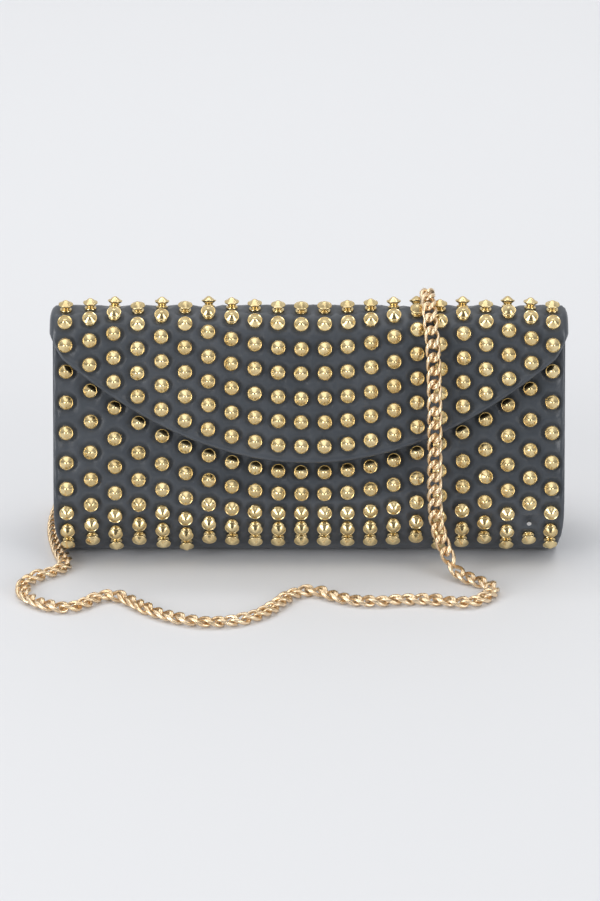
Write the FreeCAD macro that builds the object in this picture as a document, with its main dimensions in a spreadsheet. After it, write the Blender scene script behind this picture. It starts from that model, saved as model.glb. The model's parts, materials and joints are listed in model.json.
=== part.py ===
"""Studded clutch wallet on a curb chain: body, flap, studs, linings, zip pocket, snap, rings and chain.

Frame: +Z up, origin at the middle of the flat base, front of the wallet towards -Y. Millimetres.
"""
import FreeCAD, Part
import math
import os

V = FreeCAD.Vector
X_AXIS, Y_AXIS, Z_AXIS = V(1, 0, 0), V(0, 1, 0), V(0, 0, 1)

doc = FreeCAD.newDocument("chain_wallet")
sheet = doc.addObject("Spreadsheet::Sheet", "Sizes")
SIZES = {
    "body_width": 262, "flap_width": 265, "height": 131, "base_radius": 35, "base_drop": 1.5,
    "crest_radius": 14, "leather": 1.6, "board": 1.2, "lining": 0.8, "flap_stand": 7.8,
    "flap_board": 0.4, "flap_lining": 0.4, "mouth_height": 111.7, "hinge_height": 112,
    "hinge_gap": 0.6, "edge_height": 58.8, "edge_curve": 0.0032, "edge_reach": 125, "edge_corner": 11,
    "stud_radius": 3.75, "stud_height": 5.3, "stud_neck": 2.2, "columns": 22, "column_pitch": 11.83,
    "column_shift": 2, "crest_closing": 0.8, "crest_stop": 0.45, "base_share": 0.87,
    "flap_first": 8.4, "flap_pitch": 12.2, "flap_growth": 0.06, "body_first": 5.4,
    "body_pitch": 13, "body_spread": 2.8, "base_closing": 0.305, "base_opening": 0.457,
    "bare_run": 49, "post_radius": 1.15, "post_height": 2.4,
    "gusset": 1.6, "gusset_inset": 0.3, "gusset_top": 96,
    "seam_gap": 0.05, "tape_lap": 3, "slider_lap": 1.4, "slider_roof": 1.2,
    "pocket_width": 226, "pocket_leather": 1.0, "pocket_gap": 1.6, "pocket_low": 5.2, "pocket_top": 88,
    "tape_height": 9, "tape_thick": 0.5, "tooth_wide": 1.6, "tooth_thick": 2.2, "tooth_tall": 2.2,
    "tooth_pitch": 3.0, "slider_long": 9, "slider_thick": 5.4, "slider_tall": 6.4, "slider_slot": 2.9,
    "slider_home": -84, "puller_long": 22, "puller_wide": 6, "puller_thick": 1.4,
    "pin_radius": 0.8, "pin_play": 0.08, "pin_long": 5.2, "lug_long": 3, "lug_wide": 2.5,
    "lug_stand": 1.2, "notch_long": 6, "notch_wide": 3.2, "stop_long": 2.2, "stop_gap": 0.8,
    "card_width": 90, "card_thick": 1.0, "card_low": 22, "card_tall": 58, "card_step": 10,
    "card_left": -100, "slip_left": 10, "card_lift": 20, "card_gap": 0.1, "slot_thick": 0.8,
    "snap_radius": 7, "snap_flange": 1.1, "snap_height": 88, "well_play": 0.4,
    "plug_radius": 2.2, "plate_radius": 6, "plate_thick": 0.4,
    "tab_reach": 118, "tab_wide": 10, "tab_tall": 21, "tab_thick": 1.6, "tab_end": 2.5, "tab_neck": 3.2,
    "rivet_inset": 3.6,
    "bar_height": 99,
    "bar_stand": 7, "ring_wire": 1.1, "ring_radius": 9.5, "ring_play": 0.08, "rivet_radius": 2.4,
    "rivet_head": 0.9, "chain_width": 7,
}
for row, (alias, value) in enumerate(SIZES.items(), 1):
    sheet.set(f"A{row}", alias)
    sheet.set(f"B{row}", str(value))
    sheet.setAlias(f"B{row}", alias)
doc.recompute()


def size(alias):
    return float(getattr(sheet, alias))


# The side profile: a base circle and a crest circle joined by two straight leaning walls.
STAND = size("flap_stand")
BASE_R, CREST_R = size("base_radius"), size("crest_radius")
BASE_Z = BASE_R - size("base_drop")
CREST_Z = size("height") - CREST_R
LEAN = math.asin((BASE_R - CREST_R + STAND / 2) / (CREST_Z - BASE_Z))
CREST_Y = -STAND / (2 * math.cos(LEAN))
OUT = V(0, -math.cos(LEAN), math.sin(LEAN))
UP = V(0, math.sin(LEAN), math.cos(LEAN))
BACK_OUT = V(0, -OUT.y, OUT.z)
BASE_ARC = BASE_R * (math.pi / 2 + LEAN)
CREST_ARC = math.pi - 2 * LEAN
FRONT_RUN = (CREST_Z - BASE_Z) * math.cos(LEAN) + CREST_Y * math.sin(LEAN)

SUBPARTS = []


def keep(obj, label):
    """Names a finished sub-part and lists it for export."""
    obj.Label = label
    SUBPARTS.append(obj)
    return obj


def bind(obj, **links):
    """Ties properties to cells of the sheet: bind(box, Length="board * 2")."""
    for name, text in links.items():
        words = text.replace("(", " ( ").replace(")", " ) ").split()
        linked = " ".join(f"Sizes.{w}" if w in SIZES else w for w in words)
        obj.setExpression(name, linked)
    return obj


def wall_y(z, off, side=-1):
    """Y of a leaning wall's surface at height z, off outside the body leather."""
    return side * (BASE_R + off - (z - BASE_Z) * math.sin(LEAN)) / math.cos(LEAN)


def base_y(z, off):
    """Half depth of the rounded base at height z, off outside the body leather."""
    return math.sqrt((BASE_R + off) ** 2 - (z - BASE_Z) ** 2)


def path_front(off_outer, off_inner, top, low=0.0):
    """Closed U section of a body layer between two offsets from the leather's outside."""
    edges = []
    corners = []
    for off in (off_outer, off_inner):
        floor = low if off == off_outer else max(low - off + off_outer, low + off_outer - off_inner)
        foot = V(0, 0, BASE_Z) + OUT * (BASE_R + off)
        rim = V(0, wall_y(top, off), top)
        toe = V(0, -base_y(floor, off), floor)
        mid_angle = (math.atan2(foot.z - BASE_Z, foot.y) % (2 * math.pi)
                     + math.atan2(toe.z - BASE_Z, toe.y) % (2 * math.pi)) / 2
        mid = V(0, math.cos(mid_angle), math.sin(mid_angle)) * (BASE_R + off) + V(0, 0, BASE_Z)
        back = [V(0, -p.y, p.z) for p in (foot, rim, toe, mid)]
        edges += [Part.LineSegment(rim, foot), Part.Arc(foot, mid, toe), Part.LineSegment(toe, back[2]),
                  Part.Arc(back[2], back[3], back[0]), Part.LineSegment(back[0], back[1])]
        corners.append((rim, back[1]))
    edges += [Part.LineSegment(corners[0][0], corners[1][0]), Part.LineSegment(corners[0][1], corners[1][1])]
    return edges


def hook_section(off_outer, off_inner):
    """Closed section of a flap layer: front wall, crest and a short back wall down to the hinge."""
    ends, edges = [], []
    for off in (off_outer, off_inner):
        radius = CREST_R + off - STAND
        centre = V(0, CREST_Y, CREST_Z)
        hem = V(0, wall_y(size("edge_height"), off), size("edge_height"))
        shoulder = centre + OUT * radius
        back_shoulder = centre + BACK_OUT * radius
        top = size("hinge_height") + size("hinge_gap")
        heel = V(0, wall_y(top, off - STAND, 1), top)
        edges += [Part.LineSegment(hem, shoulder),
                  Part.Arc(shoulder, centre + Z_AXIS * radius, back_shoulder),
                  Part.LineSegment(back_shoulder, heel)]
        ends.append((hem, heel))
    edges += [Part.LineSegment(ends[0][0], ends[1][0]), Part.LineSegment(ends[0][1], ends[1][1])]
    return edges


def flat(edges):
    """A section's edges in the sketch plane whose x is the model's Y and y the model's Z."""
    turned = []
    for e in edges:
        if isinstance(e, Part.Arc):
            arc = e.toShape()
            a, b = arc.ParameterRange
            pts = [arc.valueAt(t) for t in (a, (a + b) / 2, b)]
            turned.append(Part.Arc(*[V(p.y, p.z, 0) for p in pts]))
        else:
            turned.append(Part.LineSegment(V(e.StartPoint.y, e.StartPoint.z, 0),
                                           V(e.EndPoint.y, e.EndPoint.z, 0)))
    return turned


def padded_section(label, edges, length):
    """A PartDesign body that pads a side section symmetrically about the middle of the wallet."""
    body = doc.addObject("PartDesign::Body", label)
    sketch = body.newObject("Sketcher::SketchObject", label + "_section")
    plane = next(f for f in body.Origin.OriginFeatures if f.Role == "YZ_Plane")
    sketch.AttachmentSupport = [(plane, "")]
    sketch.MapMode = "FlatFace"
    sketch.addGeometry(flat(edges), False)
    pad = body.newObject("PartDesign::Pad", label + "_pad")
    pad.Profile = sketch
    pad.Midplane = True
    bind(pad, Length=length)
    return body


def solid_feature(label, shape):
    """A sub-part whose solid is made by a formula rather than by a primitive."""
    obj = doc.addObject("Part::Feature", label)
    obj.Shape = shape
    return keep(obj, label)


def box(name, place, turn=0, **links):
    """A box with its sizes bound to the sheet, turned about X."""
    obj = doc.addObject("Part::Box", name)
    obj.Placement = FreeCAD.Placement(place, FreeCAD.Rotation(X_AXIS, turn))
    return bind(obj, **links)


def cylinder(name, place, direction, **links):
    """A cylinder with its sizes bound to the sheet, along the given direction."""
    obj = doc.addObject("Part::Cylinder", name)
    obj.Placement = FreeCAD.Placement(place, FreeCAD.Rotation(Z_AXIS, direction))
    return bind(obj, **links)


def cut(name, base, tool):
    obj = doc.addObject("Part::Cut", name)
    obj.Base, obj.Tool = base, tool
    return obj


def fuse(name, *pieces):
    obj = doc.addObject("Part::MultiFuse", name)
    obj.Shapes = list(pieces)
    return obj


# Body layers: leather outside, three stiffening boards, lining inside.
LEATHER, BOARD, LINING = size("leather"), size("board"), size("lining")
MOUTH = size("mouth_height")
keep(padded_section("body_leather", path_front(0, -LEATHER, MOUTH), "body_width"), "body_leather")
whole_board = path_front(-LEATHER, -LEATHER - BOARD, MOUTH - 1.0, LEATHER)
BOARD_TRIM = 2 * (size("gusset") + size("gusset_inset"))
doc.recompute()


def board_piece(label, low, high, side):
    """The part of the board layer between two heights, on one side of the wallet or on both."""
    wire = Part.Wire(Part.__sortEdges__([e.toShape() for e in whole_board]))
    length = size("body_width") - BOARD_TRIM
    layer = Part.Face(wire).extrude(V(length, 0, 0))
    layer.translate(V(-length / 2, 0, 0))
    reach = 2 * BASE_R
    start = {-1: -reach, 0: -reach, 1: 0}[side]
    window = Part.makeBox(length + 2, reach * (2 if side == 0 else 1), high - low,
                          V(-length / 2 - 1, start, low))
    return solid_feature(label, layer.common(window))


BASE_BOARD_TOP = 12
board_piece("base_board", 0, BASE_BOARD_TOP, 0)
board_piece("front_board", BASE_BOARD_TOP + 0.5, MOUTH, -1)
board_piece("back_board", BASE_BOARD_TOP + 0.5, MOUTH, 1)
INSIDE = LEATHER + BOARD + LINING
LINING_FLOOR = LEATHER + BOARD
lining_body = padded_section("body_lining", path_front(-LEATHER - BOARD, -INSIDE, MOUTH - 1.0, LINING_FLOOR),
                             f"body_width - 2 * gusset - 2 * gusset_inset")
keep(lining_body, "body_lining")


def gusset(label, side):
    """End wall inside the U, open at the mouth, a little lower than the panels."""
    top, off = size("gusset_top"), -INSIDE - 0.15
    edges = path_front(off, off - 1, top, INSIDE + 0.15)[:5]
    edges.append(Part.LineSegment(edges[4].EndPoint, edges[0].StartPoint))
    wire = Part.Wire(Part.__sortEdges__([e.toShape() for e in edges]))
    wall = Part.Face(wire).extrude(V(size("gusset"), 0, 0))
    reach = size("body_width") / 2 - size("gusset_inset") - size("gusset")
    wall.translate(V(reach if side > 0 else -reach - size("gusset"), 0, 0))
    return solid_feature(label, wall)


gusset("left_gusset", -1)
gusset("right_gusset", 1)


# Flap layers: leather, board and lining, cut to a shallow bowl-shaped lower edge.
def edge_z(x):
    return size("edge_height") + size("edge_curve") * x * x


def below_edge(margin):
    """The solid below the flap's lower edge, raised by margin: a parabola with two raised corners."""
    reach = size("edge_reach") - margin
    side = size("flap_width")
    low, corner = edge_z(0) + margin, edge_z(reach) + margin
    curve = Part.BezierCurve()
    curve.setPoles([V(-reach, 0, corner), V(0, 0, 2 * low - corner), V(reach, 0, corner)])
    rise = corner + size("edge_corner")
    outline = [curve.toShape()]
    ring = [V(reach, 0, corner), V(size("flap_width") / 2 - margin, 0, rise), V(side, 0, rise),
            V(side, 0, -1), V(-side, 0, -1), V(-side, 0, rise), V(-size("flap_width") / 2 + margin, 0, rise),
            V(-reach, 0, corner)]
    outline += [Part.LineSegment(a, b).toShape() for a, b in zip(ring, ring[1:])]
    face = Part.Face(Part.Wire(Part.__sortEdges__(outline)))
    solid = face.extrude(V(0, -2 * BASE_R, 0))
    solid.translate(V(0, CREST_Y - CREST_R / 2, 0))
    return solid


def flap_layer(label, off_outer, off_inner, margin):
    section = doc.addObject("Part::Feature", label + "_edge")
    section.Shape = below_edge(margin)
    hook = padded_section(label + "_hook", hook_section(off_outer, off_inner), f"flap_width - 2 * {margin}")
    return keep(cut(label, hook, section), label)


FLAP_BOARD, FLAP_LINING = size("flap_board"), size("flap_lining")
flap_layer("flap_leather", STAND, STAND - LEATHER, 0)
flap_layer("flap_board", STAND - LEATHER, STAND - LEATHER - FLAP_BOARD, 3)
flap_layer("flap_lining", STAND - LEATHER - FLAP_BOARD, STAND - LEATHER - FLAP_BOARD - FLAP_LINING, 1.5)


# Studs: one turned shape, set square to the leather in curved rows that follow the flap's edge.
def stud_at(place, normal):
    """A stud with a stout neck, a sharp rim and a low cone that ends in a small flat."""
    r, top, neck = size("stud_radius"), size("stud_height"), size("stud_neck")
    seat = 0.05
    outline = [V(0, 0, seat), V(neck, 0, seat), V(neck, 0, 0.25 * top), V(r, 0, 0.5 * top),
               V(r, 0, 0.58 * top), V(0.2 * r, 0, top), V(0, 0, top)]
    face = Part.Face(Part.makePolygon(outline + outline[:1]))
    solid = face.revolve(V(0, 0, 0), Z_AXIS, 360)
    solid.Placement = FreeCAD.Placement(place, FreeCAD.Rotation(Z_AXIS, normal))
    return solid


def on_body(x, run):
    """Point and normal on the body leather, run being measured from the lowest line of the base."""
    if run < BASE_ARC:
        turn = run / BASE_R
        normal = V(0, -math.sin(turn), -math.cos(turn))
        return V(x, 0, BASE_Z) + normal * BASE_R, normal
    return V(x, 0, BASE_Z) + OUT * BASE_R + UP * (run - BASE_ARC), OUT


def on_flap(x, run):
    """Point and normal on the flap leather, run being measured up from the wall's foot."""
    if run < FRONT_RUN:
        return V(x, 0, BASE_Z) + OUT * (BASE_R + STAND) + UP * run, OUT
    turn = min((run - FRONT_RUN) / CREST_R, CREST_ARC)
    normal = V(0, -math.cos(LEAN + turn), math.sin(LEAN + turn))
    return V(x, CREST_Y, CREST_Z) + normal * CREST_R, normal


FLAP_END = FRONT_RUN + CREST_R * (CREST_ARC - size("crest_stop"))
BODY_START = BASE_R * size("base_share")
BARE_COLUMN = 20
flap_studs, body_studs = [], []
half_row = (size("columns") - 1) / 2


def body_step(x, run):
    """Distance to the next lower body row: wider towards the ends, closing up round the base."""
    inward = 1 - abs(x) / (half_row * size("column_pitch"))
    pitch = size("body_pitch") + size("body_spread") * (1 - inward ** 2)
    return pitch * min(1, size("base_closing") + size("base_opening") * run / BASE_ARC)


for column in range(int(size("columns"))):
    x = (column - half_row) * size("column_pitch")
    x += size("column_shift") * (1 - (x / size("edge_reach")) ** 4)
    edge_run = (edge_z(x) - (V(0, 0, BASE_Z) + OUT * (BASE_R + STAND)).z) / math.cos(LEAN)
    step = 0
    run = edge_run + size("flap_first")
    while run < FLAP_END:
        over = max(run - FRONT_RUN, 0)
        flap_studs.append(stud_at(*on_flap(x, run - (1 - size("crest_closing")) * over)))
        step += 1
        run = edge_run + size("flap_first") + size("flap_pitch") * step + size("flap_growth") * step ** 2
    runs = [BASE_ARC + edge_run - size("body_first")]
    while runs[-1] - body_step(x, runs[-1]) > BODY_START:
        runs.append(runs[-1] - body_step(x, runs[-1]))
    if column == BARE_COLUMN:
        bare = min(runs, key=lambda run: abs(run - size("bare_run")))
        runs.remove(bare)
        foot, normal = on_body(x, bare)
        bare_post = Part.makeCylinder(size("post_radius"), size("post_height"), foot + normal * 0.05, normal)
    body_studs += [stud_at(*on_body(x, run)) for run in runs]
solid_feature("body_studs", Part.makeCompound(body_studs))
solid_feature("flap_studs", Part.makeCompound(flap_studs))
solid_feature("bare_stud_post", bare_post)
print("studs", len(body_studs), len(flap_studs))

# Zip pocket: two leather walls that stand in the middle of the wallet, closed by a zip along their top.
POCKET_HALF = size("pocket_gap") / 2 + size("pocket_leather")
for label, y in (("pocket_front_wall", -POCKET_HALF), ("pocket_back_wall", size("pocket_gap") / 2)):
    wall = box(label, V(-size("pocket_width") / 2, y, size("pocket_low")), Length="pocket_width",
               Width="pocket_leather", Height="pocket_top - pocket_low")
    keep(wall, label)
TAPE_LOW = size("pocket_top") - size("tape_lap")
for label, y in (("zip_tape_front", -size("pocket_gap") / 2), ("zip_tape_back",
                                                             size("pocket_gap") / 2 - size("tape_thick"))):
    keep(box(label, V(-size("pocket_width") / 2, y, TAPE_LOW), Length="pocket_width",
             Width="tape_thick", Height="tape_height"), label)
TEETH_Z = TAPE_LOW + size("tape_height") + size("seam_gap")
teeth = []
tooth_count = int((size("pocket_width") - size("puller_long")) / size("tooth_pitch"))
for i in range(tooth_count):
    x = (i - (tooth_count - 1) / 2) * size("tooth_pitch")
    teeth.append(Part.makeBox(size("tooth_wide"), size("tooth_thick"), size("tooth_tall"),
                              V(x - size("tooth_wide") / 2, -size("tooth_thick") / 2, TEETH_Z)))
solid_feature("zip_teeth", Part.makeCompound(teeth))
TEETH_END = (tooth_count - 1) / 2 * size("tooth_pitch") + size("tooth_wide") / 2 + size("stop_gap")
stops = [Part.makeBox(size("stop_long"), size("tooth_thick"), size("tooth_tall"),
                      V(x, -size("tooth_thick") / 2, TEETH_Z))
         for x in (TEETH_END, -TEETH_END - size("stop_long"))]
solid_feature("zip_end_stops", Part.makeCompound(stops))

# The slider rides over the teeth; its puller lies along the zip and swings up and over on a crosswise pin.
HOME = size("slider_home")
SLIDER_Z = TEETH_Z - size("slider_lap")
SLIDER_TOP = SLIDER_Z + size("slider_tall")
PIN_Z = SLIDER_TOP + size("lug_stand")
shell = box("slider_block", V(HOME - size("slider_long") / 2, -size("slider_thick") / 2, SLIDER_Z),
            Length="slider_long", Width="slider_thick", Height="slider_tall")
channel = box("slider_channel", V(HOME - size("slider_long"), -size("slider_slot") / 2, SLIDER_Z),
              Length="slider_long * 2", Width="slider_slot", Height="slider_tall - slider_roof")
lug = box("slider_lug", V(HOME - size("lug_long") / 2, -size("lug_wide") / 2,
                          SLIDER_TOP - size("lug_stand") / 2),
          Length="lug_long", Width="lug_wide", Height="lug_stand * 2.5")
pin_hole = cylinder("slider_pin_hole", V(HOME, -size("pin_long") / 2, PIN_Z), Y_AXIS,
                    Radius="pin_radius + pin_play", Height="pin_long")
slider = fuse("slider_whole", cut("slider_shell", shell, channel), lug)
keep(cut("zip_slider", slider, pin_hole), "zip_slider")
pin = cylinder("puller_pin", V(HOME, -size("pin_long") / 2, PIN_Z), Y_AXIS,
               Radius="pin_radius", Height="pin_long")
plate = box("puller_plate", V(HOME - size("puller_long"), -size("puller_wide") / 2,
                              PIN_Z - size("puller_thick") / 2),
            Length="puller_long + pin_radius", Width="puller_wide", Height="puller_thick")
notch = box("puller_notch", V(HOME - size("notch_long") * 0.45, -size("notch_wide") / 2,
                              PIN_Z - size("puller_thick")),
            Length="notch_long", Width="notch_wide", Height="puller_thick * 2")
keep(fuse("zip_puller", cut("puller_blade", plate, notch), pin), "zip_puller")

# Card panel and slots sewn to the lining at the back.
CARD_TURN = math.degrees(LEAN)
CARD_LEFT = size("card_left")
CARD_Z = size("card_low") + size("card_lift")


def against_back(depth, z):
    """Point on the inside of the back lining at height z, then depth further in."""
    return V(0, wall_y(z, -INSIDE, 1), z) - BACK_OUT * depth


for label, left in (("card_panel", CARD_LEFT), ("slip_panel", size("slip_left"))):
    place = against_back(size("card_gap") + size("card_thick"), CARD_Z) + V(left, 0, 0)
    keep(box(label, place, CARD_TURN, Length="card_width", Width="card_thick",
             Height="card_tall - 2 * card_step"), label)
for i in range(3):
    depth = size("card_gap") + size("card_thick") + (i + 1) * (size("slot_thick") + size("card_gap"))
    place = against_back(depth, CARD_Z) + V(CARD_LEFT, 0, 0)
    keep(box(f"card_slot_{i + 1}", place, CARD_TURN, Length="card_width", Width="slot_thick",
             Height=f"card_tall - {i + 3} * card_step"), f"card_slot_{i + 1}")

# Magnetic snap: socket and backplate in the front panel, plug and backplate in the flap.
SNAP_FRONT = V(0, wall_y(size("snap_height"), 0), size("snap_height"))
CUP_FOOT = SNAP_FRONT + OUT * size("seam_gap")
PLUG_FOOT = SNAP_FRONT + OUT * (STAND - LEATHER - FLAP_BOARD - FLAP_LINING - size("seam_gap"))
PLATE_FOOT = SNAP_FRONT - OUT * (INSIDE + size("seam_gap"))
socket = cylinder("socket_cup", CUP_FOOT, OUT, Radius="snap_radius", Height="snap_flange * 2")
well = cylinder("socket_well", CUP_FOOT, OUT, Radius="plug_radius + well_play", Height="snap_flange * 3")
keep(cut("snap_socket", socket, well), "snap_socket")
keep(cylinder("snap_plug", PLUG_FOOT, OUT * -1, Radius="plug_radius", Height="snap_flange * 3"), "snap_plug")
keep(cylinder("snap_backplate", PLATE_FOOT, OUT * -1, Radius="plate_radius", Height="plate_thick"),
     "snap_backplate")

# Chain tabs, rivets and D-rings at the two top corners of the back.
BAR_Z = size("bar_height")
BAR = V(0, wall_y(BAR_Z, 0, 1), BAR_Z) + BACK_OUT * size("bar_stand")
for side, word in ((-1, "left"), (1, "right")):
    x = side * size("tab_reach")
    foot = V(x - size("tab_wide") / 2, 0, 0) + V(0, wall_y(BAR_Z, 0, 1), BAR_Z) + BACK_OUT * size("seam_gap")
    down = V(0, BACK_OUT.z, -BACK_OUT.y)
    strap = box(f"{word}_strap", foot + down * size("tab_tall"), CARD_TURN, Length="tab_wide",
                Width="tab_thick", Height="tab_tall + tab_end")
    loop = cylinder(f"{word}_loop", V(x - size("tab_wide") / 2, BAR.y, BAR.z), X_AXIS,
                    Radius="ring_wire + ring_play + tab_thick", Height="tab_wide")
    neck = box(f"{word}_neck", foot - down * (size("tab_neck") / 2), CARD_TURN, Length="tab_wide",
               Width="bar_stand", Height="tab_neck")
    bore = cylinder(f"{word}_bore", V(x - size("tab_wide"), BAR.y, BAR.z), X_AXIS,
                    Radius="ring_wire + ring_play", Height="tab_wide * 2")
    keep(cut(f"{word}_ring_tab", fuse(f"{word}_tab_whole", strap, loop, neck), bore), f"{word}_ring_tab")
    rivet_foot = foot + V(size("tab_wide") / 2, 0, 0) + BACK_OUT * (size("tab_thick") + size("seam_gap")) \
        + down * (size("tab_tall") - size("rivet_inset"))
    keep(cylinder(f"{word}_tab_rivet", rivet_foot, BACK_OUT, Radius="rivet_radius", Height="rivet_head"),
         f"{word}_tab_rivet")
    bar = cylinder(f"{word}_bar", V(x - size("ring_radius"), BAR.y, BAR.z), X_AXIS, Radius="ring_wire",
                   Height="ring_radius * 2")
    bow = doc.addObject("Part::Torus", f"{word}_bow")
    bind(bow, Radius1="ring_radius", Radius2="ring_wire")
    bow.Angle3 = 180
    bow.Placement = FreeCAD.Placement(V(x, BAR.y, BAR.z), FreeCAD.Rotation(V(1, 0, 0), -90))
    ends = []
    for k in (-1, 1):
        ball = doc.addObject("Part::Sphere", f"{word}_corner_{'a' if k < 0 else 'b'}")
        ball.Placement = FreeCAD.Placement(V(x + k * size("ring_radius"), BAR.y, BAR.z), FreeCAD.Rotation())
        ends.append(bind(ball, Radius="ring_wire"))
    keep(fuse(f"{word}_ring", bar, bow, *ends), f"{word}_ring")

# The chain's envelope: a plain tube along hand-set points, straight runs joined by tangent arcs.
CHAIN_R = size("chain_width") / 2
FLOOR = CHAIN_R + 0.05
CHAIN_FRONT = [
    (-118, 25.8, 88), (-118, 41, 60), (-120, 52, 32), (-129, 56, 10), (-137, 36, FLOOR),
    (-138.5, 8, FLOOR), (-137, -20, FLOOR), (-129, -42, FLOOR), (-144, -57, FLOOR), (-145, -80, FLOOR),
    (-122, -96, FLOOR), (-101, -74, FLOOR), (-78, -98, FLOOR), (-52, -112, FLOOR), (-24, -103, FLOOR),
    (-4, -66, FLOOR), (24, -87, FLOOR), (56, -80, FLOOR), (84, -89, FLOOR), (98, -68, FLOOR),
    (81, -56, FLOOR), (75.5, -56, 12.5),
]
CHAIN_DRAPE = [
    (75.5, -56, 12.5), (70, -56, 21.5), (66, -53, 44), (65, -51, 76), (64, -34, 112), (64, -20, 139),
    (63, 8, 141), (63, 31, 122), (63, 37, 94), (63, 46, 66), (62, 56, 38), (64, 62, 20.8),
]
CHAIN_BACK = [
    (64, 62, 20.8), (66, 68, FLOOR), (76, 84, FLOOR), (97, 88, FLOOR), (114, 74, FLOOR), (121, 58, 26),
    (119, 41, 60), (118, 25.8, 88),
]


def chain_tube(label, points):
    """A closed tube along the points; prints its radii and compares volume with section and length."""
    spots = [V(*p) for p in points]
    edges, start, radii = [], spots[0], []
    for before, corner, after in zip(spots, spots[1:], spots[2:]):
        back, ahead = (before - corner), (after - corner)
        shorter = min(back.Length, ahead.Length)
        back.normalize()
        ahead.normalize()
        half = (math.pi - back.getAngle(ahead)) / 2
        trim = 0.45 * shorter
        radius = trim / math.tan(half)
        radii.append(round(radius, 1))
        first, last = corner + back * trim, corner + ahead * trim
        bisector = back + ahead
        bisector.normalize()
        middle = corner + bisector * (radius / math.cos(half) - radius)
        edges += [Part.LineSegment(start, first).toShape(), Part.Arc(first, middle, last).toShape()]
        start = last
    edges.append(Part.LineSegment(start, spots[-1]).toShape())
    wire = Part.Wire(edges)
    ring = Part.Wire(Part.Circle(spots[0], spots[1] - spots[0], CHAIN_R).toShape())
    pipe = wire.makePipeShell([ring], True, False)
    expected = math.pi * CHAIN_R ** 2 * wire.Length
    print(label, "length", round(wire.Length, 1), "volume ratio", round(pipe.Volume / expected, 4),
          "smallest radius", min(radii), "radii", radii)
    return solid_feature(label, pipe)


chain_tube("chain_front", CHAIN_FRONT)
chain_tube("chain_drape", CHAIN_DRAPE)
chain_tube("chain_back", CHAIN_BACK)

doc.recompute()
for obj in doc.Objects:
    assert not {"Invalid", "Error"} & set(obj.State), f"{obj.Label} failed"
os.makedirs("parts", exist_ok=True)
for obj in SUBPARTS:
    assert not obj.Shape.isNull() and obj.Shape.isValid() and obj.Shape.Solids, f"{obj.Label} is not valid"
    obj.Shape.exportStep(f"parts/{obj.Label}.step")
print("sub-parts", len(SUBPARTS), "lean", round(math.degrees(LEAN), 2), "crest", round(CREST_Y, 2),
      round(CREST_Z, 2), "bar", [round(c, 3) for c in BAR], "pin", round(PIN_Z, 3))
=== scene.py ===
"""Studded clutch wallet on a curb chain: the visible shapes, materials, light and camera, in metres."""
import json
import math
import random

import bpy
import numpy as np
from mathutils import Matrix, Vector, noise
from mathutils.kdtree import KDTree


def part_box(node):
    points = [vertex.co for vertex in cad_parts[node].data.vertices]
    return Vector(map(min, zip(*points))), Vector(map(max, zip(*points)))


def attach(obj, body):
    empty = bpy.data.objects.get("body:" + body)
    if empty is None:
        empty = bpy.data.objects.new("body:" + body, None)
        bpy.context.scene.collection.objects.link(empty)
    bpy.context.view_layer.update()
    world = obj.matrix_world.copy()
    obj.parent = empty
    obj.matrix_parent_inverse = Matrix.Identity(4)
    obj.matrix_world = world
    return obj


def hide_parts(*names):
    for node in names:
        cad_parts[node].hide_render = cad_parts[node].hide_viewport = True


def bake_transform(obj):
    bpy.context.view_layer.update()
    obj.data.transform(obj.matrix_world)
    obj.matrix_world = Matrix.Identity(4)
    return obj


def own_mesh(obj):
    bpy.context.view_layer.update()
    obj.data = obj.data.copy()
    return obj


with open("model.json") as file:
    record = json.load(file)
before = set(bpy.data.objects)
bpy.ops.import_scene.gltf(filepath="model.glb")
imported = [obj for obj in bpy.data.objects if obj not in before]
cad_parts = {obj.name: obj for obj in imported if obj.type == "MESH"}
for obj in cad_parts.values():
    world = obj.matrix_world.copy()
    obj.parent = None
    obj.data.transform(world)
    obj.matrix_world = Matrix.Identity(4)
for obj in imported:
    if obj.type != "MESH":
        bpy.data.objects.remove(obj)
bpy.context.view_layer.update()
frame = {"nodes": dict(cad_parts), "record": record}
MM = 0.001
RNG = random.Random(11)
Z_UP = Vector((0, 0, 1))

# Driving dimensions of the leather shape, in metres, as the CAD frame has them.
HEIGHT, BASE_R, BASE_DROP, CREST_R = 0.131, 0.035, 0.0015, 0.014
STAND, MOUTH, HINGE_Z = 0.0078, 0.1117, 0.1122
HALF_BODY, HALF_FLAP = 0.131, 0.1325
EDGE_Z, EDGE_CURVE, EDGE_REACH, EDGE_CORNER, EDGE_TURN = 0.0588, 3.2, 0.125, 0.013, 1.3

# Thicknesses; the layers lie LAYER_GAP apart.
LEATHER, BOARD, CLOTH, FLAP_BOARD, FLAP_CLOTH = 0.0016, 0.0012, 0.0008, 0.0004, 0.0004
INSIDE = LEATHER + BOARD + CLOTH
LAYER_GAP = 0.0001

BASE_Z = BASE_R - BASE_DROP
CREST_Z = HEIGHT - CREST_R
LEAN = math.asin((BASE_R - CREST_R + STAND / 2) / (CREST_Z - BASE_Z))
CREST_Y = -STAND / (2 * math.cos(LEAN))
BASE_ARC = BASE_R * (math.pi / 2 + LEAN)
CREST_ARC = math.pi - 2 * LEAN
FRONT_RUN = (CREST_Z - BASE_Z) * math.cos(LEAN) + CREST_Y * math.sin(LEAN)
BACK_RUN = (CREST_Z - BASE_Z) * math.cos(LEAN) - CREST_Y * math.sin(LEAN)
TOE = math.sqrt(BASE_R ** 2 - BASE_Z ** 2)
TOE_RUN = BASE_R * math.atan2(TOE, BASE_Z)
BACK_SHOULDER = FRONT_RUN + CREST_R * CREST_ARC
BACK_FOOT = BACK_SHOULDER + BACK_RUN
BACK_TOE = BACK_FOOT + BASE_ARC - TOE_RUN
BACK_MIDDLE = BACK_TOE + TOE


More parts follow.
